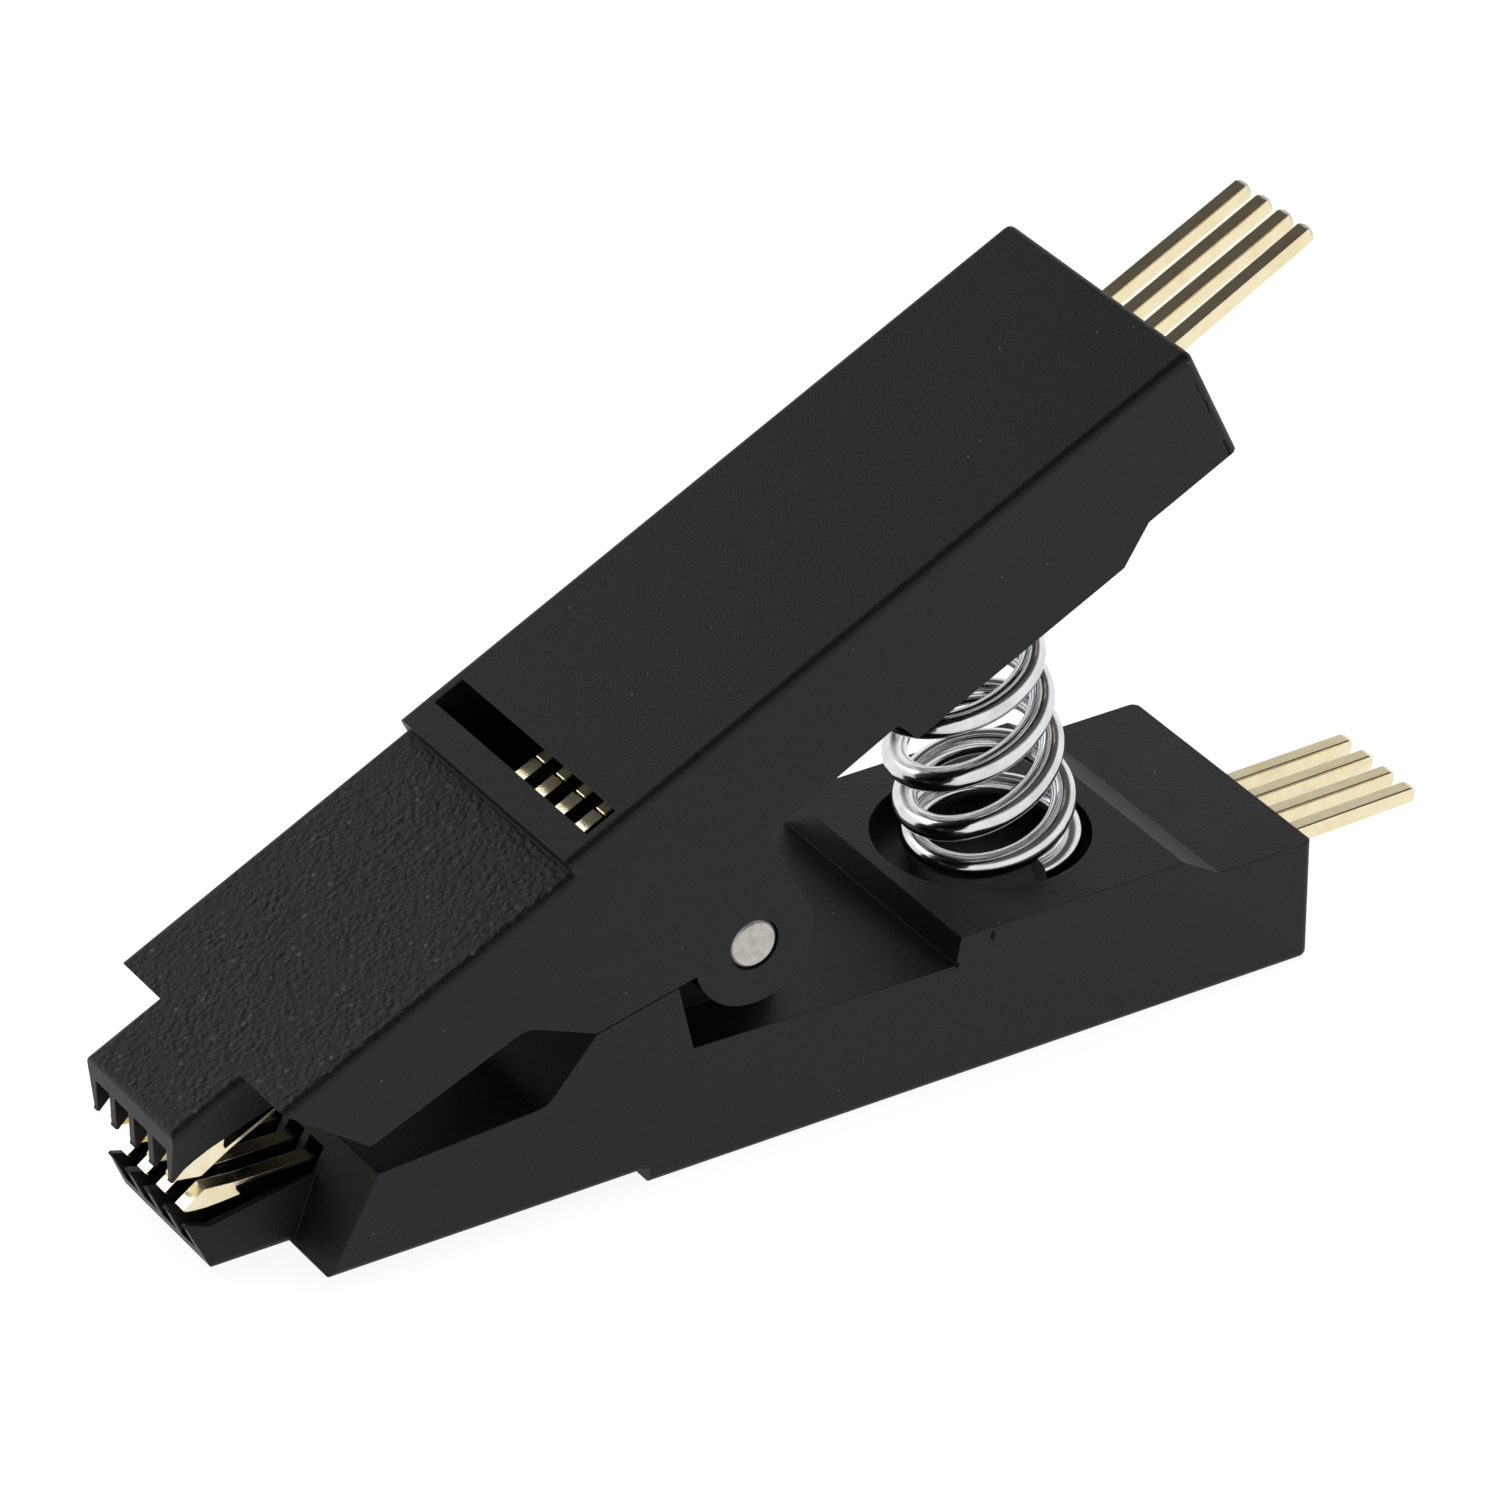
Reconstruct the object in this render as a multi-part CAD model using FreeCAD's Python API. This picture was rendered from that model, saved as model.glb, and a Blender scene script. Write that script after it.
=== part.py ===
import FreeCAD, Part
import math
import os

# Spring-loaded test clip for an eight-lead small-outline chip, in millimetres.
# +X runs from the jaws to the header pins, +Y to the far side and +Z up, with the clip on its lower half.
# The origin is on the resting face, under the hinge axis, in the middle of the width.
# Both halves are one moulding. It is drawn as the lower half, with heights counted from its outer face,
# and the upper half is the same moulding turned over about the hinge.

# Leads
lead_pitch = 1.27
lead_count = 4
pin_width = 0.6
pin_length_out = 7.0
pin_bevel = 0.18
pin_level = 2.6
contact_width = 0.6
beam_thickness = 0.14
head_height = 0.73
head_length = 2.13
head_setback = 0.2
head_front_at = 0.38
head_belly = [(0.07, -0.36), (0.07, -0.56), (0.0, -0.85), (0.03, -0.92), (0.31, -0.97), (0.6, -1.0),
              (0.8, -0.96), (0.95, -0.9), (1.0, -0.8)]
beam_drop = 0.12
tail_length = 6.0
ramp_length = 1.4
joint_at = -1.45
joint_gap = 0.05
tip_gap = 0.7

# Halves
body_width = 10.8
hinge_height = 8.15
jaw_angle = 26.7
seam_gap = 0.05
handle_end = 22.9
handle_lean = 0.05
pad_length = 4.0
pad_height = 4.75
pad_ramp = 1.5
platform_height = 5.65
platform_start = 8.3
platform_lean = 0.2
stop_rear = -2.95
stop_length = 3.15
stop_lean = 0.6
trough_clearance = 1.0
trough_fall = 0.25
jaw_ramp = 1.9
jaw_gap_rear = 1.75
jaw_gap_front = 0.62
shoulder_at = -14.45
shoulder_lean = 1.85
grip_step_at = -4.0
grip_recess = 0.55
edge_round = 0.3
rear_corner_round = 0.3
jaw_root_round = 1.0

# Nose and its comb
outer_tooth = 0.58
outer_tooth_tip = 0.2
nose_length = 3.0
nose_lean = 0.85
nose_edge_round = 0.3
tooth_reach = 0.95
tooth_hook = 0.3
tooth_barb = 0.08
tooth_rise = 0.6
web = 0.7
cavity_depth = 5.0
cavity_roof = 0.2

# Window over the joints between contacts and header pins
window_length = 1.22
window_width = 9.7
window_rear = -1.59
window_floor = 0.35
window_undercut = 15.0

# Hinge
lobe_radius = 2.3
lug_root = 0.5
ear_thickness = 2.2
ear_gap = 0.1
pin_radius = 0.9
pin_end_bevel = 0.12

# Spring
seat_at = 12.65
seat_radius = 3.85
seat_depth = 0.9
spring_offset = 0.55
spring_outer_radius = 3.1
wire_radius = 0.45
spring_turns = 6.75
spring_start = 272.0
runs_per_turn = 12
end_turns = 0.25
end_turn_gap = 0.01

# How far a cutter runs past the face that it cuts
overshoot = 1.0

# Clearances
held_fit = 0.01
running_fit = 0.05
slot_fit = 0.16
seat_fit = 0.02

half_angle = math.radians(jaw_angle / 2)
half_width = body_width / 2
platform_end = handle_end - pad_length - pad_ramp
pad_start = handle_end - pad_length
stop_front = stop_rear - stop_length
jaw_root = stop_front - jaw_ramp
shoulder_outer = shoulder_at - shoulder_lean
nose_root = shoulder_at + shoulder_lean / 2
nose_front = shoulder_outer - nose_length
nose_tip = nose_front - nose_lean
trough_height = hinge_height - lobe_radius - trough_clearance
slot_width = contact_width + 2 * slot_fit
slot_floor = grip_recess + web
nose_width = (lead_count - 1) * lead_pitch + slot_width + 2 * outer_tooth
head_tip = nose_tip + head_setback
cavity_end = shoulder_at + cavity_depth


def middle(u):
    """Height over the outer face of the plane that halves the angle between the two closed halves."""
    return hinge_height + u * math.tan(half_angle)


head_top = middle(head_tip + head_length / 2) - tip_gap / 2 / math.cos(half_angle)
jaw_height_rear = middle(jaw_root) - jaw_gap_rear
jaw_height_front = middle(shoulder_at) - jaw_gap_front
tooth_height = middle(nose_tip) - tooth_reach
cavity_top = head_top + cavity_roof
seam_drop = seam_gap / 2 / math.cos(half_angle)


def profile(points, low_y, high_y):
    """Solid whose side view is the closed outline of points (along, height), between two widths."""
    corners = [FreeCAD.Vector(u, low_y, k) for u, k in points]
    wire = Part.makePolygon(corners + corners[:1])
    return Part.Face(wire).extrude(FreeCAD.Vector(0, high_y - low_y, 0))


def block(low, high):
    """Box from its lowest corner to its highest."""
    size = [b - a for a, b in zip(low, high)]
    return Part.makeBox(size[0], size[1], size[2], FreeCAD.Vector(*low))


def cross_bar(radius, low_y, high_y, u=0.0, k=None):
    """Round bar along the width, on the hinge axis unless a place is given."""
    centre = FreeCAD.Vector(u, low_y, hinge_height if k is None else k)
    return Part.makeCylinder(radius, high_y - low_y, centre, FreeCAD.Vector(0, 1, 0))


def edges_on(shape, test):
    """Edges of a shape whose middle and both ends pass a test."""
    found = []
    for edge in shape.Edges:
        ends = [vertex.Point for vertex in edge.Vertexes]
        if ends and all(test(point) for point in ends + [edge.CenterOfMass]):
            found.append(edge)
    return found


def near(a, b):
    return abs(a - b) < 1e-4


def half_block():
    """A half as far as its shoulder: finger pad, spring platform, hinge trough, stop, jaw and grip."""
    outline = [
        (handle_end, 0),
        (handle_end - handle_lean, pad_height),
        (pad_start, pad_height),
        (platform_end, platform_height),
        (platform_start, platform_height),
        (platform_start - platform_lean, trough_height - trough_fall),
        (stop_rear + stop_lean, trough_height),
        (stop_rear, middle(stop_rear) - seam_drop),
        (stop_front, middle(stop_front) - seam_drop),
        (jaw_root, jaw_height_rear),
        (shoulder_at, jaw_height_front),
        (shoulder_outer, grip_recess),
        (grip_step_at, grip_recess),
        (grip_step_at, 0),
    ]
    solid = profile(outline, -half_width, half_width)
    corners = edges_on(solid, lambda p: near(abs(p.y), half_width) and p.x > pad_start + pad_length / 2)
    solid = solid.makeFillet(rear_corner_round, [e for e in corners if e.Length > pad_height - edge_round])
    root = edges_on(solid, lambda p: near(p.x, jaw_root) and near(p.z, jaw_height_rear))
    solid = solid.makeFillet(jaw_root_round, root)
    outer_edges = edges_on(solid, lambda p: near(p.z, 0))
    rim = [edge for edge in outer_edges if not near(edge.CenterOfMass.x, grip_step_at)]
    grip = edges_on(solid, lambda p: near(p.z, grip_recess) and near(abs(p.y), half_width))
    return solid.makeFillet(edge_round, rim + grip)


def nose_sides():
    """Space between the leaning side faces of the nose, which bring its outer teeth to thin tips."""
    high = tooth_height + tooth_rise
    lean = (outer_tooth - outer_tooth_tip) / (tooth_height - grip_recess)
    wide = nose_width / 2
    narrow = wide - lean * (high - grip_recess)
    start = nose_tip - overshoot
    outline = [(-wide, grip_recess), (wide, grip_recess), (narrow, high), (-narrow, high)]
    corners = [FreeCAD.Vector(start, y, k) for y, k in outline]
    wire = Part.makePolygon(corners + corners[:1])
    return Part.Face(wire).extrude(FreeCAD.Vector(nose_root - start, 0, 0))


def nose_comb():
    """Narrow nose with a leaning front, whose hooked teeth stand between the contacts."""
    outline = [
        (nose_root, grip_recess),
        (nose_front, grip_recess),
        (nose_tip + tooth_barb, tooth_height - 2 * tooth_barb),
        (nose_tip, tooth_height - tooth_barb),
        (nose_tip + tooth_barb, tooth_height),
        (nose_front + tooth_barb, tooth_height - tooth_hook),
        (nose_root, tooth_height + tooth_rise),
    ]
    solid = profile(outline, -nose_width / 2, nose_width / 2).common(nose_sides())
    outer_edges = edges_on(solid, lambda p: near(p.z, grip_recess))
    rim = [edge for edge in outer_edges if not near(edge.CenterOfMass.x, nose_root)]
    return solid.makeFillet(nose_edge_round, rim)


def lead_places():
    """Middles of the leads across the width."""
    return [(i - (lead_count - 1) / 2) * lead_pitch for i in range(lead_count)]


def lug(low_y, high_y):
    """Hinge lug: a stem that grows out of the stop and the trough, with a round lobe about the axis."""
    foot = trough_height - trough_fall - lug_root
    root = stop_rear - lug_root
    stem = [
        (root, foot),
        (lobe_radius, foot),
        (lobe_radius, hinge_height),
        (0, hinge_height),
        (root, middle(root) - seam_drop),
    ]
    return profile(stem, low_y, high_y).fuse(cross_bar(lobe_radius, low_y, high_y))


def lug_places():
    """Two lugs of a half: the ear at its far side, and the inner lug beside the other half's ear."""
    inner = -half_width + ear_thickness + ear_gap
    return [(half_width - ear_thickness, half_width), (inner, inner + ear_thickness)]


def contact_levels():
    """Lower and upper faces of a contact: (along, lower height, upper height) from its tail to its head."""
    tail_front = joint_at - tail_length
    beam_top = head_top - beam_drop
    return [
        (joint_at - joint_gap / 2, pin_level - pin_width / 2, pin_level + pin_width / 2),
        (tail_front, pin_level - pin_width / 2, pin_level + pin_width / 2),
        (tail_front - ramp_length, beam_top - beam_thickness, beam_top),
        (head_tip + head_length, beam_top - beam_thickness, beam_top),
    ]


def contact_strip(extra):
    """Outline of the strip from its tail to its neck, thicker by extra on both faces."""
    stations = contact_levels()
    low = [(u, a - extra) for u, a, b in stations]
    high = [(u, b + extra) for u, a, b in reversed(stations)]
    return low + high


def contact_head():
    """Outline of the wedge head: barb behind, rounded belly and leaning front."""
    neck, neck_low, neck_high = contact_levels()[-1]
    belly = [(neck - along * head_length, head_top + down * head_height) for along, down in head_belly]
    front = (head_tip + head_front_at * head_length, head_top)
    return [(neck, neck_low)] + belly + [front, (neck, neck_high)]


def contact(y):
    """Stamped spring contact: tail in the body, thin beam through the jaw and a wedge head in the comb."""
    low = y - contact_width / 2
    high = y + contact_width / 2
    strip = profile(contact_strip(0), low, high)
    return strip.fuse(profile(contact_head(), low, high)).removeSplitter()


def header_pin(y):
    """Square pin from its joint in the window out through the rear face, with a bevelled tip."""
    start = joint_at + joint_gap / 2
    end = handle_end + pin_length_out
    half = pin_width / 2
    bar = block((start, y - half, pin_level - half), (end, y + half, pin_level + half))
    tip = edges_on(bar, lambda p: near(p.x, end))
    return bar.makeChamfer(pin_bevel, tip)


def window_cut():
    """Cutter of the window: square front wall and a rear wall that leans back under the face."""
    depth = pin_level + pin_width / 2 + window_floor
    reach = depth * math.tan(math.radians(window_undercut))
    outline = [
        (window_rear - window_length, -overshoot),
        (window_rear - window_length, depth),
        (window_rear + reach, depth),
        (window_rear, 0),
        (window_rear, -overshoot),
    ]
    return profile(outline, -window_width / 2, window_width / 2)


def lead_cuts(y):
    """Cutters for one lead: slot and free cavity in the jaw, grip channel, and the header pin's hole."""
    slot = slot_width / 2
    cavity = block((nose_tip - overshoot, y - slot, slot_floor), (cavity_end, y + slot, cavity_top))
    side = contact_width / 2 + seat_fit
    channel = profile(contact_strip(seat_fit), y - side, y + side)
    half = pin_width / 2 + seat_fit
    end = handle_end + overshoot
    hole = block((window_rear, y - half, pin_level - half), (end, y + half, pin_level + half))
    return [cavity, channel, hole]


def half_moulding(bore_radius):
    """One moulded half, drawn as the lower one."""
    solid = half_block().fuse([nose_comb()] + [lug(a, b) for a, b in lug_places()])
    cutters = [window_cut()]
    seat_floor = FreeCAD.Vector(seat_at, 0, platform_height - seat_depth)
    cutters.append(Part.makeCylinder(seat_radius, seat_depth + overshoot, seat_floor))
    cutters.append(cross_bar(bore_radius, -half_width - overshoot, half_width + overshoot))
    for y in lead_places():
        cutters.extend(lead_cuts(y))
    return solid.cut(cutters).removeSplitter()


def turn_over(shape):
    """Carry a piece of the lower half to its place on the upper half, with the jaws closed."""
    axis_point = FreeCAD.Vector(0, 0, hinge_height)
    turned = shape.copy()
    turned.rotate(axis_point, FreeCAD.Vector(1, 0, 0), 180)
    turned.rotate(axis_point, FreeCAD.Vector(0, 1, 0), -jaw_angle)
    return turned


def hinge_pin():
    """Steel pin through all four lugs, flush with both sides."""
    pin = cross_bar(pin_radius, -half_width, half_width)
    rims = edges_on(pin, lambda p: near(abs(p.y), half_width))
    return pin.makeChamfer(pin_end_bevel, rims)


def spring_ends():
    """Middles of the first and the last turn, each lying on the floor of its seat."""
    place = Part.Vertex(seat_at + spring_offset, 0, platform_height - seat_depth + seat_fit + wire_radius)
    return place.Point, turn_over(place).Point


def spring_rise(turn):
    """Share of the way from the lower seat to the upper one after a number of turns."""
    first, last = spring_ends()
    closed = (2 * wire_radius + end_turn_gap) / first.distanceToPoint(last)
    if turn < end_turns:
        return closed * turn
    if turn > spring_turns - end_turns:
        return 1 - closed * (spring_turns - turn)
    open_turns = spring_turns - 2 * end_turns
    return closed * end_turns + (1 - 2 * closed * end_turns) * (turn - end_turns) / open_turns


def spring_path():
    """Points of the wire's middle: a right-hand coil about a straight line between the seats.

    The turns tilt from one seat's plane to the other's on the way.
    """
    first, last = spring_ends()
    coil = spring_outer_radius - wire_radius
    points = []
    for i in range(round(spring_turns * runs_per_turn) + 1):
        turn = i / runs_per_turn
        rise = spring_rise(turn)
        angle = math.radians(spring_start) + 2 * math.pi * turn
        tilt = math.radians(jaw_angle) * rise
        across = FreeCAD.Vector(math.cos(tilt), 0, math.sin(tilt)) * (coil * math.cos(angle))
        sideways = FreeCAD.Vector(0, coil * math.sin(angle), 0)
        points.append(first + (last - first) * rise + across + sideways)
    return points


def coil_spring():
    """Compression spring of round wire, seated in both platforms."""
    points = spring_path()
    path = Part.makePolygon(points)
    section = Part.Wire(Part.makeCircle(wire_radius, points[0], points[1] - points[0]))
    mitred_corners = 1
    return path.makePipeShell([section], True, False, mitred_corners)


def write(name, shape):
    """Check one piece and write it as its own file."""
    print(name, "solids", len(shape.Solids), "volume", round(shape.Volume, 3), "valid", shape.isValid())
    shape.Solids[0].exportStep(os.path.join("parts", name + ".step"))


def main():
    os.makedirs("parts", exist_ok=True)
    write("lower_body", half_moulding(pin_radius + held_fit))
    write("upper_body", turn_over(half_moulding(pin_radius + running_fit)))
    write("hinge_pin", hinge_pin())
    write("coil_spring", coil_spring())
    for number, y in enumerate(lead_places(), 1):
        write("lower_contact_%d" % number, contact(y))
        write("upper_contact_%d" % number, turn_over(contact(-y)))
        write("lower_header_pin_%d" % number, header_pin(y))
        write("upper_header_pin_%d" % number, turn_over(header_pin(-y)))


main()
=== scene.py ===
import math

import bmesh
import bpy
from mathutils import Matrix, Vector


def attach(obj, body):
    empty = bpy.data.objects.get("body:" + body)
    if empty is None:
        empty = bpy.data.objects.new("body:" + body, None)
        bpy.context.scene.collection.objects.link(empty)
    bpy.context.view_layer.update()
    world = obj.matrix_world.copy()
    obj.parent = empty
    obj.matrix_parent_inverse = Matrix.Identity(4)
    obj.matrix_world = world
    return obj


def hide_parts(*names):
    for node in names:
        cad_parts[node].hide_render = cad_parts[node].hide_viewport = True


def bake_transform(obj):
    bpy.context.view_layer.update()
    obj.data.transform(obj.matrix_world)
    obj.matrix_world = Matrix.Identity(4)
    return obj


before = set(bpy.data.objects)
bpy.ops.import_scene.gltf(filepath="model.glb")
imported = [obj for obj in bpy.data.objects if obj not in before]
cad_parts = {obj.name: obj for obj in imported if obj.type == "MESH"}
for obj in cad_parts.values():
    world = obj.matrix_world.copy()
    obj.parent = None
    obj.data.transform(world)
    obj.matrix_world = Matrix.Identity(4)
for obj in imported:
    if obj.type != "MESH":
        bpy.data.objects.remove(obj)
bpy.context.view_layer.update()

# Sizes are in millimetres, in a half's own frame: u along the half, y across it, k above its outer face.
# The upper half is the lower one turned over about the hinge pin. on_half carries both to the row frame.
MM = 0.001
HINGE = 8.15
JAW_ANGLE = math.radians(26.7)
HALF_ANGLE = JAW_ANGLE / 2
HALF_WIDTH = 5.4
HANDLE_END = 22.9
GRIP_STEP = -4.0
GRIP_RECESS = 0.55

# Turn between two faces, in radians, over which a lead's edge is rounded
SHARP_EDGE = 0.3

# Leads: a contact from its wedge head in the comb to the joint in the window, then a header pin
LEADS = 4
PITCH = 1.27
JOINT_AT = -1.45
JOINT_GAP = 0.05
CONTACT_WIDTH = 0.6
CONTACT_ROUND = 0.015
HEAD_TIP = -19.95
HEAD_LENGTH = 2.13
HEAD_HEIGHT = 0.73
HEAD_FRONT = 0.38
TIP_GAP = 0.7
BEAM = 0.14
BEAM_DROP = 0.12
TAIL_LENGTH = 6.0
RAMP_LENGTH = 1.4
NECK = HEAD_TIP + HEAD_LENGTH
BEND = JOINT_AT - TAIL_LENGTH
BEAM_END = BEND - RAMP_LENGTH
PIN_LEVEL = 2.6
PIN_WIDTH = 0.6
PIN_END = HANDLE_END + 7.0
PIN_ROUND = 0.07
TIP_LENGTH = 0.17
TIP_BEVEL = 0.15

# Belly of the wedge head: share of its length in front of the neck, share of its height over its top
HEAD_BELLY = ((0.07, -0.36), (0.07, -0.56), (0.0, -0.85), (0.03, -0.92), (0.31, -0.97), (0.6, -1.0),
              (0.8, -0.96), (0.95, -0.9), (1.0, -0.8))

# Sideways set of each header pin where it leaves the handle and at its tip, nearest pin first.
# It begins SET_LENGTH inside the handle.
SET_LENGTH = 1.5
PIN_SET = {"lower": ((0.05, 0.22), (0.05, 0.19), (0.03, 0.2), (0.03, 0.18)),
           "upper": ((-0.12, -0.3), (-0.1, -0.18), (-0.08, -0.15), (-0.08, -0.12))}

# Spring
SEAT_FLOOR = 4.75
SEAT_FIT = 0.02
SPRING_AT = 13.17
SPRING_START = math.radians(272)
COIL_RADIUS = 2.7
WIRE_RADIUS = 0.45
TURNS = 6.48
END_TURNS = 0.85
END_TURN_GAP = 0.01
RINGS_PER_TURN = 72
WIRE_SIDES = 24
WIRE_SMOOTH = math.radians(40)
MARKS_ALONG, MARKS_ROUND = 1.2, 4.0

# How far the coils lean out of an even turn from seat to seat, and the share of the rise where it turns over
SWAY = 4.07
SWAY_CROSSING = 0.58

# Plastic, with the cosines of a lean at which an edge starts to turn paler and is fully paler, as rubbed
# wear and a painted edge highlight
PLASTIC_DARK = (0.0025, 0.0025, 0.0026, 1)
PLASTIC_PALE = (0.0045, 0.0045, 0.0046, 1)
# Paler rounded edges: partly rubbed wear, partly a painted edge highlight
RUBBED_EDGE_AND_HIGHLIGHT = (0.02, 0.019, 0.018, 1)
# Painted glints: pale spots on the grip's pebble peaks that stand in for small highlights
PAINTED_GLINT = (0.07, 0.07, 0.07, 1)
DUST = (0.12, 0.12, 0.12, 1)
# Painted shade: near-black colour inside the side nicks and the mould seam groove
HOLLOW_SHADE = (0.0005, 0.0005, 0.0005, 1)
GLOSS = 0.295
EDGE_LEAN_BAND = (0.995, 0.86)
SEAM_AT = HANDLE_END - 0.4

# Nicks in the near side face of each half: their u and k, then half their width and height
NICKS = {"lower": ((9.55, 5.33, 0.12, 0.24), (8.13, 4.62, 0.12, 0.13)),
         "upper": ((22.5, 4.65, 0.08, 0.12),)}

# Metal
# Painted shade: dark olive over the contact beams, standing in for their dark reflections
PAINTED_BEAM_SHADE = (0.13, 0.1, 0.05, 1)
BARE_TIP = (0.85, 0.8, 0.7, 1)

# Studio, in metres: grey level of the walls by the sine of the height angle, then the camera
WALLS = ((0.0, 1.0), (0.45, 1.0), (0.53, 0.55), (0.63, 0.1), (1.0, 0.09))
FLOOR_SIZE = 1.2
FLOOR_UNDER = 0.00002
CLIP_MIDDLE = (0.004, 0.0, 0.01)
CAMERA_AT = (-0.133997, -0.212889, 0.166758)
CAMERA_AZIMUTH = math.radians(32.799)
CAMERA_ELEVATION = math.radians(31.45)
CAMERA_ROLL = math.radians(0.782)
FRAME_PIXELS = 1500
FOCAL_PIXELS = 8872.57
SENSOR_MM = 36


def on_half(half, u, y, k):
    """Row-frame point of a place on a half."""
    if half == "lower":
        return Vector((u, y, k)) * MM
    c, s = math.cos(JAW_ANGLE), math.sin(JAW_ANGLE)
    return Vector((u * c - (HINGE - k) * s, -y, HINGE + u * s + (HINGE - k) * c)) * MM


def middle(u):
    """Height over the outer face of the plane that halves the angle between the closed halves."""
    return HINGE + u * math.tan(HALF_ANGLE)


class Nodes:
    """Short way to write a material's nodes."""

    def __init__(self, name):
        self.material = bpy.data.materials.new(name)
        self.material.use_nodes = True
        self.tree = self.material.node_tree
        self.tree.nodes.clear()
        self.out = self.tree.nodes.new("ShaderNodeOutputMaterial")

    def add(self, kind, inputs=None, **settings):
        """New node with its settings, and its inputs linked or set."""
        node = self.tree.nodes.new(kind)
        for key, value in settings.items():
            setattr(node, key, value)
        for key, value in (inputs or {}).items():
            self.put(node, key, value)
        return node

    def put(self, node, key, value):
        """Link a socket or a node's first output to an input, or set a plain value there."""
        socket = node.inputs[key]
        if isinstance(value, bpy.types.NodeSocket):
            self.tree.links.new(value, socket)
        elif isinstance(value, bpy.types.Node):
            self.tree.links.new(value.outputs[0], socket)
        else:
            socket.default_value = value

    def math(self, operation, a, b=0.0, c=0.0):
        return self.add("ShaderNodeMath", {0: a, 1: b, 2: c}, operation=operation).outputs[0]

    def vector(self, operation, a, b=(0.0, 0.0, 0.0)):
        return self.add("ShaderNodeVectorMath", {0: a, 1: b}, operation=operation)

    def ramp(self, value, low, high, to_low=0.0, to_high=1.0):
        """Smooth step of a value from low to high."""
        node = self.add("ShaderNodeMapRange", {0: value, 1: low, 2: high, 3: to_low, 4: to_high},
                        interpolation_type="SMOOTHSTEP")
        return node.outputs[0]

    def noise(self, place, scale, detail=2.0, rough=0.5):
        node = self.add("ShaderNodeTexNoise", {"Vector": place, "Scale": scale, "Detail": detail,
                                               "Roughness": rough})
        return node.outputs["Fac"]

    def spots(self, place, scale, channel, chosen, radii):
        """Scattered round spots, in the cells whose random colour channel rises over the chosen band."""
        cells = self.add("ShaderNodeTexVoronoi", {"Vector": place, "Scale": scale, "Randomness": 1.0})
        colour = self.add("ShaderNodeSeparateColor", {0: cells.outputs["Color"]})
        present = self.ramp(colour.outputs[channel], *chosen)
        return self.math("MULTIPLY", self.ramp(cells.outputs["Distance"], *radii), present)

    def mix(self, factor, a, b):
        """Colour between a and b."""
        node = self.add("ShaderNodeMix", data_type="RGBA")
        self.put(node, 0, factor)
        self.put(node, 6, a)
        self.put(node, 7, b)
        return node.outputs[2]

    def bump(self, height, distance, strength=1.0, normal=None):
        """Normal leaned by a height of 0 to 1 over a distance in millimetres."""
        node = self.add("ShaderNodeBump", {"Height": height, "Distance": distance * MM,
                                           "Strength": strength})
        if normal is not None:
            self.put(node, "Normal", normal)
        return node.outputs[0]

    def place(self):
        """The piece's own coordinates, in millimetres."""
        coordinates = self.add("ShaderNodeTexCoord")
        return self.add("ShaderNodeVectorMath", {0: coordinates.outputs["Object"], 3: 1.0 / MM},
                        operation="SCALE").outputs[0]

    def half_place(self, half):
        """Coordinates in the half's own frame, in millimetres."""
        here = self.place()
        if half == "lower":
            return here
        axis = (0.0, 0.0, HINGE)
        closed = self.add("ShaderNodeVectorRotate", {"Vector": here, "Center": axis, "Angle": JAW_ANGLE},
                          rotation_type="Y_AXIS")
        turned = self.add("ShaderNodeVectorRotate", {"Vector": closed, "Center": axis, "Angle": math.pi},
                          rotation_type="X_AXIS")
        return turned.outputs[0]

    def edges(self, radius):
        """Rounded normal at sharp edges, and how much it leans away there."""
        bevel = self.add("ShaderNodeBevel", {"Radius": radius * MM}, samples=6)
        geometry = self.add("ShaderNodeNewGeometry")
        upright = self.vector("DOT_PRODUCT", bevel.outputs[0], geometry.outputs["Normal"])
        return bevel.outputs[0], self.ramp(upright.outputs["Value"], *EDGE_LEAN_BAND)

    def principled(self, **inputs):
        shader = self.add("ShaderNodeBsdfPrincipled")
        for key, value in inputs.items():
            self.put(shader, key.replace("_", " "), value)
        self.tree.links.new(shader.outputs[0], self.out.inputs[0])
        return self.material


def pebble(n, here):
    """Height of the grips' cast pebble: soft lumps and sharper grit, in stronger and weaker patches."""
    lumps = n.math("MULTIPLY", n.noise(here, scale=2.6, detail=1.0), 0.6)
    sharp = n.math("MULTIPLY", n.noise(here, scale=6.5, rough=0.6), 0.35)
    grit = n.add("ShaderNodeTexVoronoi", {"Vector": here, "Scale": 4.4, "Smoothness": 0.8,
                                          "Randomness": 1.0}, feature="SMOOTH_F1").outputs["Distance"]
    height = n.math("ADD", lumps, n.math("MULTIPLY_ADD", grit, -0.8, sharp))
    return n.math("MULTIPLY", height, n.ramp(n.noise(here, scale=0.7), 0.3, 0.7, 0.5, 1.0))


def nicks(n, here, u, k, half):
    """Small ragged hollows left in the side face by the mould."""
    ragged = n.noise(here, scale=6.0)
    hollow = 0.0
    for at_u, at_k, wide, high in NICKS[half]:
        off_u = n.math("DIVIDE", n.math("SUBTRACT", u, at_u), wide)
        off_k = n.math("DIVIDE", n.math("SUBTRACT", k, at_k), high)
        squares = n.math("ADD", n.math("MULTIPLY", off_u, off_u), n.math("MULTIPLY", off_k, off_k))
        away = n.math("ADD", n.math("SQRT", squares), ragged)
        hollow = n.math("MAXIMUM", hollow, n.ramp(away, 1.6, 1.2))
    return hollow


def mould_seam(n, here, u, k):
    """Thin broken line across the side face, just before the end of the handle."""
    wander = n.math("MULTIPLY_ADD", n.noise(here, scale=1.1, detail=3.0, rough=0.6), 0.3, -0.15)
    from_seam = n.math("ABSOLUTE", n.math("ADD", n.math("SUBTRACT", u, SEAM_AT), wander))
    pieces = n.ramp(n.noise(here, scale=0.9), 0.62, 0.42, 0.15, 1.0)
    broken = n.math("MULTIPLY", n.ramp(k, 0.6, 1.6), pieces)
    return n.math("MULTIPLY", broken, n.ramp(from_seam, 0.09, 0.0))


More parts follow.
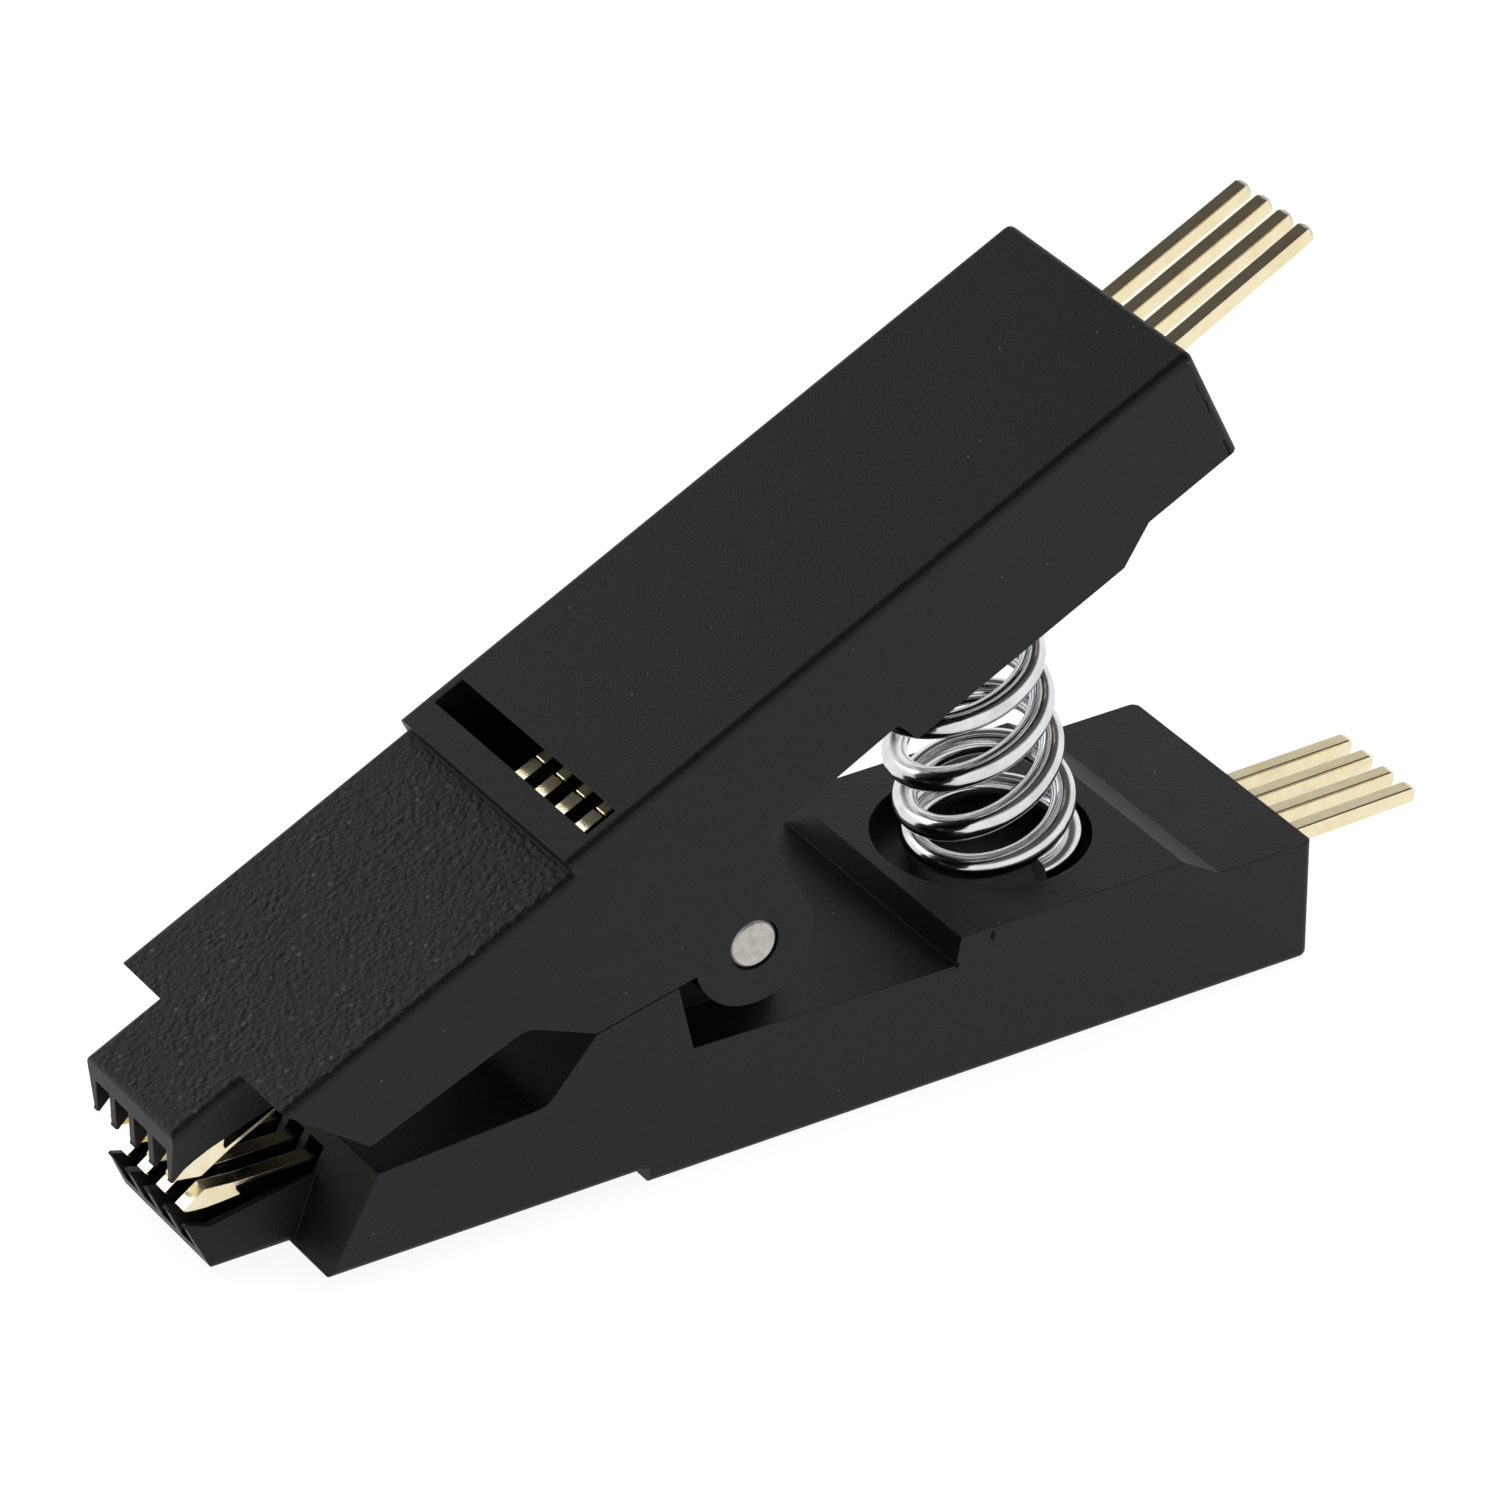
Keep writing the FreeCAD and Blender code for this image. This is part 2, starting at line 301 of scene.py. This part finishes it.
def side_marks(n, here, y, u, k, half):
    """Nicks of the near side face, and the seam of the upper half."""
    hollow = nicks(n, here, u, k, half)
    if half == "upper":
        hollow = n.math("MAXIMUM", hollow, mould_seam(n, here, u, k))
    to_near = n.math("MULTIPLY", y, -1.0 if half == "lower" else 1.0)
    return n.math("MULTIPLY", hollow, n.ramp(to_near, HALF_WIDTH - 0.4, HALF_WIDTH - 0.3))


def plastic(half):
    """Black moulded plastic: spark grain, cast pebble on the recessed grip, dust, edges painted paler as
    rubbed wear and edge highlight, painted glints on the grip's peaks, and painted shade in nicks and the
    seam.
    """
    n = Nodes("black_plastic_" + half)
    here = n.half_place(half)
    u, y, k = n.add("ShaderNodeSeparateXYZ", {0: here}).outputs
    on_grip = n.math("MULTIPLY", n.ramp(u, GRIP_STEP - 0.06, GRIP_STEP - 0.16),
                     n.ramp(k, GRIP_RECESS + 0.15, GRIP_RECESS - 0.03))
    cloudy = n.noise(here, scale=0.55, detail=3.0, rough=0.6)
    grain = n.noise(here, scale=13.0, detail=3.0, rough=0.6)
    dust = n.spots(here, scale=1.1, channel=0, chosen=(0.55, 0.56), radii=(0.05, 0.03))
    painted_glints = n.spots(here, scale=2.3, channel=1, chosen=(0.3, 0.95), radii=(0.3, 0.05))
    marks = side_marks(n, here, y, u, k, half)
    rounded, edge_lean = n.edges(0.06)

    shade = n.mix(cloudy, PLASTIC_DARK, PLASTIC_PALE)
    # Rounded edges painted paler: rubbed wear and painted edge highlight
    shade = n.mix(n.math("MULTIPLY", edge_lean, 0.3), shade, RUBBED_EDGE_AND_HIGHLIGHT)
    shade = n.mix(dust, shade, DUST)
    # Painted glints on the grip's pebble peaks
    shade = n.mix(n.math("MULTIPLY", n.math("MULTIPLY", painted_glints, on_grip), 0.8), shade, PAINTED_GLINT)
    # Painted shade in the nicks and the seam groove
    shade = n.mix(n.math("MULTIPLY", marks, 0.7), shade, HOLLOW_SHADE)
    rough = n.math("ADD", n.math("MULTIPLY", cloudy, 0.1), n.math("MULTIPLY_ADD", grain, 0.08, 0.36))
    rough = n.math("MAXIMUM", rough, marks)
    cast = n.bump(grain, 0.022, 0.8, rounded)
    cast = n.bump(n.math("MULTIPLY", pebble(n, here), on_grip), 0.068, 1.0, cast)
    cast = n.bump(n.math("MULTIPLY", marks, -1.0), 0.03, 1.0, cast)
    return n.principled(Base_Color=shade, Roughness=rough, Normal=cast, Specular_IOR_Level=GLOSS)


def gold(name, half, bright, dull, roughness, streak):
    """Gold plate with lengthwise marks, duller edges, painted shade over the contact beams and bare cut pin
    tips.
    """
    n = Nodes(name + "_" + half)
    here = n.place()
    u = n.add("ShaderNodeSeparateXYZ", {0: n.half_place(half)}).outputs[0]
    marks = n.noise(n.vector("MULTIPLY", here, (0.35, 6.0, 6.0)), scale=1.6, detail=4.0, rough=0.6)
    patches = n.noise(here, scale=1.3, detail=3.0, rough=0.6)
    cut = n.ramp(u, PIN_END - 0.2, PIN_END - 0.14)
    shaded_beam = n.math("MULTIPLY", n.ramp(u, NECK + 0.12, NECK + 0.62),
                  n.ramp(u, BEAM_END + 0.25, BEAM_END - 0.55))
    rounded, edge_lean = n.edges(0.03)

    shade = n.mix(n.ramp(patches, 0.35, 0.7), bright, dull)
    shade = n.mix(n.math("MULTIPLY", edge_lean, 0.35), shade, dull)
    shade = n.mix(cut, shade, BARE_TIP)
    # Painted shade over the contact beams
    shade = n.mix(n.math("MULTIPLY", shaded_beam, 0.85), shade, PAINTED_BEAM_SHADE)
    rough = n.math("MULTIPLY_ADD", cut, 0.5, n.math("MULTIPLY_ADD", marks, 0.07, roughness))
    normal = n.bump(marks, streak, 0.5, rounded)
    return n.principled(Base_Color=shade, Roughness=rough, Normal=normal, Metallic=1.0)


def spring_steel():
    """Bright drawn spring wire with faint marks along it."""
    n = Nodes("spring_steel")
    along = n.add("ShaderNodeAttribute", attribute_name="wire")
    marks = n.noise(along.outputs["Vector"], scale=1.0, detail=4.0, rough=0.6)
    patches = n.noise(n.place(), scale=0.9, detail=3.0, rough=0.6)
    shade = n.mix(n.ramp(patches, 0.3, 0.7), (0.8, 0.8, 0.81, 1), (0.66, 0.66, 0.67, 1))
    rough = n.math("MULTIPLY_ADD", marks, 0.12, 0.07)
    normal = n.bump(marks, 0.008, 0.5)
    return n.principled(Base_Color=shade, Roughness=rough, Normal=normal, Metallic=1.0)


def pin_steel():
    """Cut end and turned side of the hinge pin: matt warm grey steel with fine rings."""
    n = Nodes("pin_steel")
    here = n.place()
    flat = n.vector("MULTIPLY", n.vector("SUBTRACT", here, (0.0, 0.0, HINGE)), (1.0, 0.0, 1.0))
    from_axis = n.vector("LENGTH", flat).outputs["Value"]
    rings = n.add("ShaderNodeTexNoise", {"W": n.math("MULTIPLY", from_axis, 14.0), "Scale": 1.0},
                  noise_dimensions="1D").outputs["Fac"]
    blotch = n.noise(here, scale=2.6, detail=4.0, rough=0.65)
    rounded, edge_lean = n.edges(0.05)
    shade = n.mix(n.ramp(blotch, 0.3, 0.75), (0.62, 0.6, 0.55, 1), (0.47, 0.45, 0.41, 1))
    shade = n.mix(edge_lean, shade, (0.75, 0.74, 0.71, 1))
    rough = n.math("MULTIPLY_ADD", blotch, 0.2, 0.33)
    normal = n.bump(n.math("MULTIPLY_ADD", rings, 0.5, blotch), 0.02, 0.5, rounded)
    return n.principled(Base_Color=shade, Roughness=rough, Normal=normal, Metallic=0.85)


def wear(piece, material):
    """Give a piece one material."""
    piece.data.materials.clear()
    piece.data.materials.append(material)


def new_piece(name, bm):
    """Object in the scene from a finished bmesh."""
    mesh = bpy.data.meshes.new(name)
    bm.normal_update()
    bm.to_mesh(mesh)
    bm.free()
    piece = bpy.data.objects.new(name, mesh)
    bpy.context.scene.collection.objects.link(piece)
    return piece


def round_edges(bm, radius, segments, profile):
    """Round every sharp edge."""
    bmesh.ops.recalc_face_normals(bm, faces=bm.faces)
    sharp = [edge for edge in bm.edges if edge.calc_face_angle(0) > SHARP_EDGE]
    bmesh.ops.bevel(bm, geom=sharp, offset=radius * MM, segments=segments, profile=profile, affect="EDGES")


def contact_outline():
    """Side view of a spring contact from its tail in the window to its wedge head."""
    head_top = middle(HEAD_TIP + HEAD_LENGTH / 2) - TIP_GAP / 2 / math.cos(HALF_ANGLE)
    beam_top = head_top - BEAM_DROP
    low, high = PIN_LEVEL - PIN_WIDTH / 2, PIN_LEVEL + PIN_WIDTH / 2
    tail = JOINT_AT - JOINT_GAP / 2
    outline = [(tail, low), (BEND, low), (BEAM_END, beam_top - BEAM), (NECK, beam_top - BEAM)]
    outline += [(NECK - ahead * HEAD_LENGTH, head_top + over * HEAD_HEIGHT) for ahead, over in HEAD_BELLY]
    outline += [(HEAD_TIP + HEAD_FRONT * HEAD_LENGTH, head_top), (NECK, beam_top), (BEAM_END, beam_top)]
    outline += [(BEND, high), (tail, high)]
    return outline


def contact_strip(name, half, y):
    """Spring contact cut from strip, with its edges slightly rounded."""
    outline = contact_outline()
    bm = bmesh.new()
    near = [bm.verts.new(on_half(half, u, y - CONTACT_WIDTH / 2, k)) for u, k in outline]
    far = [bm.verts.new(on_half(half, u, y + CONTACT_WIDTH / 2, k)) for u, k in outline]
    bm.faces.new(near)
    bm.faces.new(far[::-1])
    for i in range(len(outline)):
        j = (i + 1) % len(outline)
        bm.faces.new((near[j], near[i], far[i], far[j]))
    round_edges(bm, CONTACT_ROUND, segments=2, profile=0.7)
    return new_piece(name, bm)


def header_pin(name, half, y, root_off, tip_off):
    """Square drawn pin with rounded corners and a bevelled tip, pushed a little sideways."""
    wide = PIN_WIDTH / 2
    sections = ((JOINT_AT + JOINT_GAP / 2, wide, 0.0), (HANDLE_END - SET_LENGTH, wide, 0.0),
                (HANDLE_END, wide, root_off), (PIN_END - TIP_LENGTH, wide, tip_off),
                (PIN_END, wide - TIP_BEVEL, tip_off))
    bm = bmesh.new()
    rings = []
    for u, reach, off in sections:
        rings.append([bm.verts.new(on_half(half, u, y + off + a * reach, PIN_LEVEL + b * reach))
                      for a, b in ((-1, -1), (1, -1), (1, 1), (-1, 1))])
    bm.faces.new(rings[0])
    bm.faces.new(rings[-1][::-1])
    for a, b in zip(rings, rings[1:]):
        for i in range(4):
            j = (i + 1) % 4
            bm.faces.new((a[i], b[i], b[j], a[j]))
    round_edges(bm, PIN_ROUND, segments=3, profile=0.5)
    return new_piece(name, bm)


def spring_centre(turn):
    """Middle of the wire after a number of turns, and the outward direction there, in millimetres."""
    first = Vector((SPRING_AT, 0, SEAT_FLOOR + SEAT_FIT + WIRE_RADIUS))
    last = on_half("upper", first.x, 0, first.z) / MM
    closed = (2 * WIRE_RADIUS + END_TURN_GAP) / (last - first).length
    if turn < END_TURNS:
        rise = closed * turn
    elif turn > TURNS - END_TURNS:
        rise = 1 - closed * (TURNS - turn)
    else:
        open_share = (turn - END_TURNS) / (TURNS - 2 * END_TURNS)
        rise = closed * END_TURNS + (1 - 2 * closed * END_TURNS) * open_share
    angle = SPRING_START + 2 * math.pi * turn
    tilt = JAW_ANGLE * rise + SWAY * rise * (1 - rise) * (SWAY_CROSSING - rise)
    across = Vector((math.cos(tilt), 0, math.sin(tilt)))
    outward = across * math.cos(angle) + Vector((0, math.sin(angle), 0))
    return first + (last - first) * rise + outward * COIL_RADIUS, outward


def wire_ring(bm, wire, turn):
    """Ring of vertices round the wire, which keep their place along and round it for the marks."""
    small = 0.002
    centre, outward = spring_centre(turn)
    before = spring_centre(max(turn - small, 0.0))[0]
    after = spring_centre(min(turn + small, TURNS))[0]
    along = (after - before).normalized()
    side = along.cross(outward).normalized()
    outward = side.cross(along)
    ring = []
    for j in range(WIRE_SIDES):
        a = 2 * math.pi * j / WIRE_SIDES
        vert = bm.verts.new((centre + (outward * math.cos(a) + side * math.sin(a)) * WIRE_RADIUS) * MM)
        vert[wire] = (turn * MARKS_ALONG, math.cos(a) * MARKS_ROUND, math.sin(a) * MARKS_ROUND)
        ring.append(vert)
    return ring


def coil_spring():
    """Smooth round wire with cut ends."""
    steps = round(TURNS * RINGS_PER_TURN)
    bm = bmesh.new()
    wire = bm.verts.layers.float_vector.new("wire")
    rings = [wire_ring(bm, wire, TURNS * i / steps) for i in range(steps + 1)]
    for a, b in zip(rings, rings[1:]):
        for i in range(WIRE_SIDES):
            j = (i + 1) % WIRE_SIDES
            bm.faces.new((a[i], a[j], b[j], b[i]))
    bm.faces.new(rings[0][::-1])
    bm.faces.new(rings[-1])
    bmesh.ops.recalc_face_normals(bm, faces=bm.faces)
    bm.normal_update()
    for face in bm.faces:
        face.smooth = True
    for edge in bm.edges:
        edge.smooth = edge.calc_face_angle(0) < WIRE_SMOOTH
    return new_piece("spring_wire", bm)


def dress_leads():
    """Contacts and header pins with rounded edges in place of the plain solids."""
    for half, near_first in (("lower", 1), ("upper", -1)):
        contact_gold = gold("contact_gold", half, (0.95, 0.87, 0.66, 1), (0.9, 0.78, 0.5, 1), 0.07, 0.008)
        header_gold = gold("header_gold", half, (0.93, 0.83, 0.57, 1), (0.87, 0.75, 0.48, 1), 0.045, 0.003)
        for number in range(1, LEADS + 1):
            y = (number - (LEADS + 1) / 2) * PITCH * near_first
            contact = contact_strip("%s_contact_strip_%d" % (half, number), half, y)
            wear(contact, contact_gold)
            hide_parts("%s_contact_%d" % (half, number))
            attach(contact, half)
            root_off, tip_off = PIN_SET[half][number - 1]
            pin = header_pin("%s_header_square_pin_%d" % (half, number), half, y, root_off, tip_off)
            wear(pin, header_gold)
            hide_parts("%s_header_pin_%d" % (half, number))
            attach(pin, half)


def dress_spring():
    """Smooth spring in place of the plain one, between the two seats."""
    spring = coil_spring()
    wear(spring, spring_steel())
    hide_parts("coil_spring")
    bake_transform(spring)


def dress_bodies():
    """Materials of the two mouldings and the hinge pin."""
    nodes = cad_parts
    wear(nodes["lower_body"], plastic("lower"))
    wear(nodes["upper_body"], plastic("upper"))
    wear(nodes["hinge_pin"], pin_steel())


def pale_floor():
    """Matt floor that lights the clip, and shows as white with the clip's soft shadow on it."""
    n = Nodes("pale_floor")
    tone = n.mix(n.noise(n.place(), scale=0.05), (0.78, 0.78, 0.785, 1), (0.82, 0.82, 0.82, 1))
    matt = n.add("ShaderNodeBsdfDiffuse", {"Color": tone})
    faint = n.add("ShaderNodeBsdfDiffuse", {"Color": (0.3, 0.3, 0.3, 1)})
    path = n.add("ShaderNodeLightPath")
    strength = n.math("MULTIPLY_ADD", path.outputs["Is Camera Ray"], 0.15, 0.75)
    glow = n.add("ShaderNodeEmission", {"Color": (1, 1, 1, 1), "Strength": strength})
    shown = n.add("ShaderNodeAddShader", {0: faint, 1: glow})
    seen = n.math("MAXIMUM", path.outputs["Is Camera Ray"], path.outputs["Is Glossy Ray"])
    seen = n.math("MAXIMUM", seen, path.outputs["Is Transmission Ray"])
    both = n.add("ShaderNodeMixShader", {0: seen, 1: matt, 2: shown})
    n.tree.links.new(both.outputs[0], n.out.inputs[0])
    return n.material


def make_floor():
    bm = bmesh.new()
    bmesh.ops.create_grid(bm, x_segments=2, y_segments=2, size=FLOOR_SIZE)
    floor = new_piece("floor", bm)
    floor.location = (0, 0, -FLOOR_UNDER)
    wear(floor, pale_floor())


def make_world():
    """White studio walls up to a dim ceiling."""
    world = bpy.data.worlds.new("studio")
    bpy.context.scene.world = world
    world.use_nodes = True
    tree = world.node_tree
    tree.nodes.clear()
    out = tree.nodes.new("ShaderNodeOutputWorld")
    background = tree.nodes.new("ShaderNodeBackground")
    coordinates = tree.nodes.new("ShaderNodeTexCoord")
    split = tree.nodes.new("ShaderNodeSeparateXYZ")
    ramp = tree.nodes.new("ShaderNodeValToRGB")
    tree.links.new(coordinates.outputs["Generated"], split.inputs[0])
    tree.links.new(split.outputs[2], ramp.inputs[0])
    tree.links.new(ramp.outputs[0], background.inputs[0])
    tree.links.new(background.outputs[0], out.inputs[0])
    stops = ramp.color_ramp.elements
    for height, level in WALLS[1:-1]:
        stops.new(height)
    for stop, (height, level) in zip(stops, WALLS):
        stop.position, stop.color = height, (level, level, level, 1)


def soft_light(name, place, size, power, in_reflections):
    """Rectangular lamp turned to the clip."""
    data = bpy.data.lights.new(name, "AREA")
    data.shape = "RECTANGLE"
    data.size, data.size_y = size
    data.energy = power
    lamp = bpy.data.objects.new(name, data)
    bpy.context.scene.collection.objects.link(lamp)
    lamp.location = place
    lamp.rotation_mode = "QUATERNION"
    lamp.rotation_quaternion = (Vector(CLIP_MIDDLE) - Vector(place)).to_track_quat("-Z", "Y")
    lamp.visible_camera = False
    lamp.visible_glossy = in_reflections


def make_lights():
    soft_light("overhead_fill", (-0.02, 0.06, 0.42), (0.25, 0.25), 0.8, in_reflections=False)
    soft_light("far_left_box", (-0.152, 0.25, 0.23), (0.2, 0.16), 0.155, in_reflections=True)


def make_camera():
    """Camera at the photograph's viewing angle."""
    c, s = math.cos(CAMERA_AZIMUTH), math.sin(CAMERA_AZIMUTH)
    flat = math.cos(CAMERA_ELEVATION)
    forward = Vector((s * flat, c * flat, -math.sin(CAMERA_ELEVATION)))
    level = Vector((c, -s, 0))
    lift = level.cross(forward)
    right = level * math.cos(CAMERA_ROLL) + lift * math.sin(CAMERA_ROLL)
    up = lift * math.cos(CAMERA_ROLL) - level * math.sin(CAMERA_ROLL)
    data = bpy.data.cameras.new("photo_camera")
    data.sensor_width = SENSOR_MM
    data.lens = FOCAL_PIXELS / FRAME_PIXELS * SENSOR_MM
    data.clip_start, data.clip_end = 0.01, 10
    camera = bpy.data.objects.new("photo_camera", data)
    bpy.context.scene.collection.objects.link(camera)
    turn = Matrix((right, up, -forward)).transposed().to_4x4()
    camera.matrix_world = Matrix.Translation(CAMERA_AT) @ turn
    bpy.context.scene.camera = camera


dress_bodies()
dress_leads()
dress_spring()
make_floor()
make_world()
make_lights()
make_camera()
bpy.context.scene.view_settings.view_transform = "Standard"
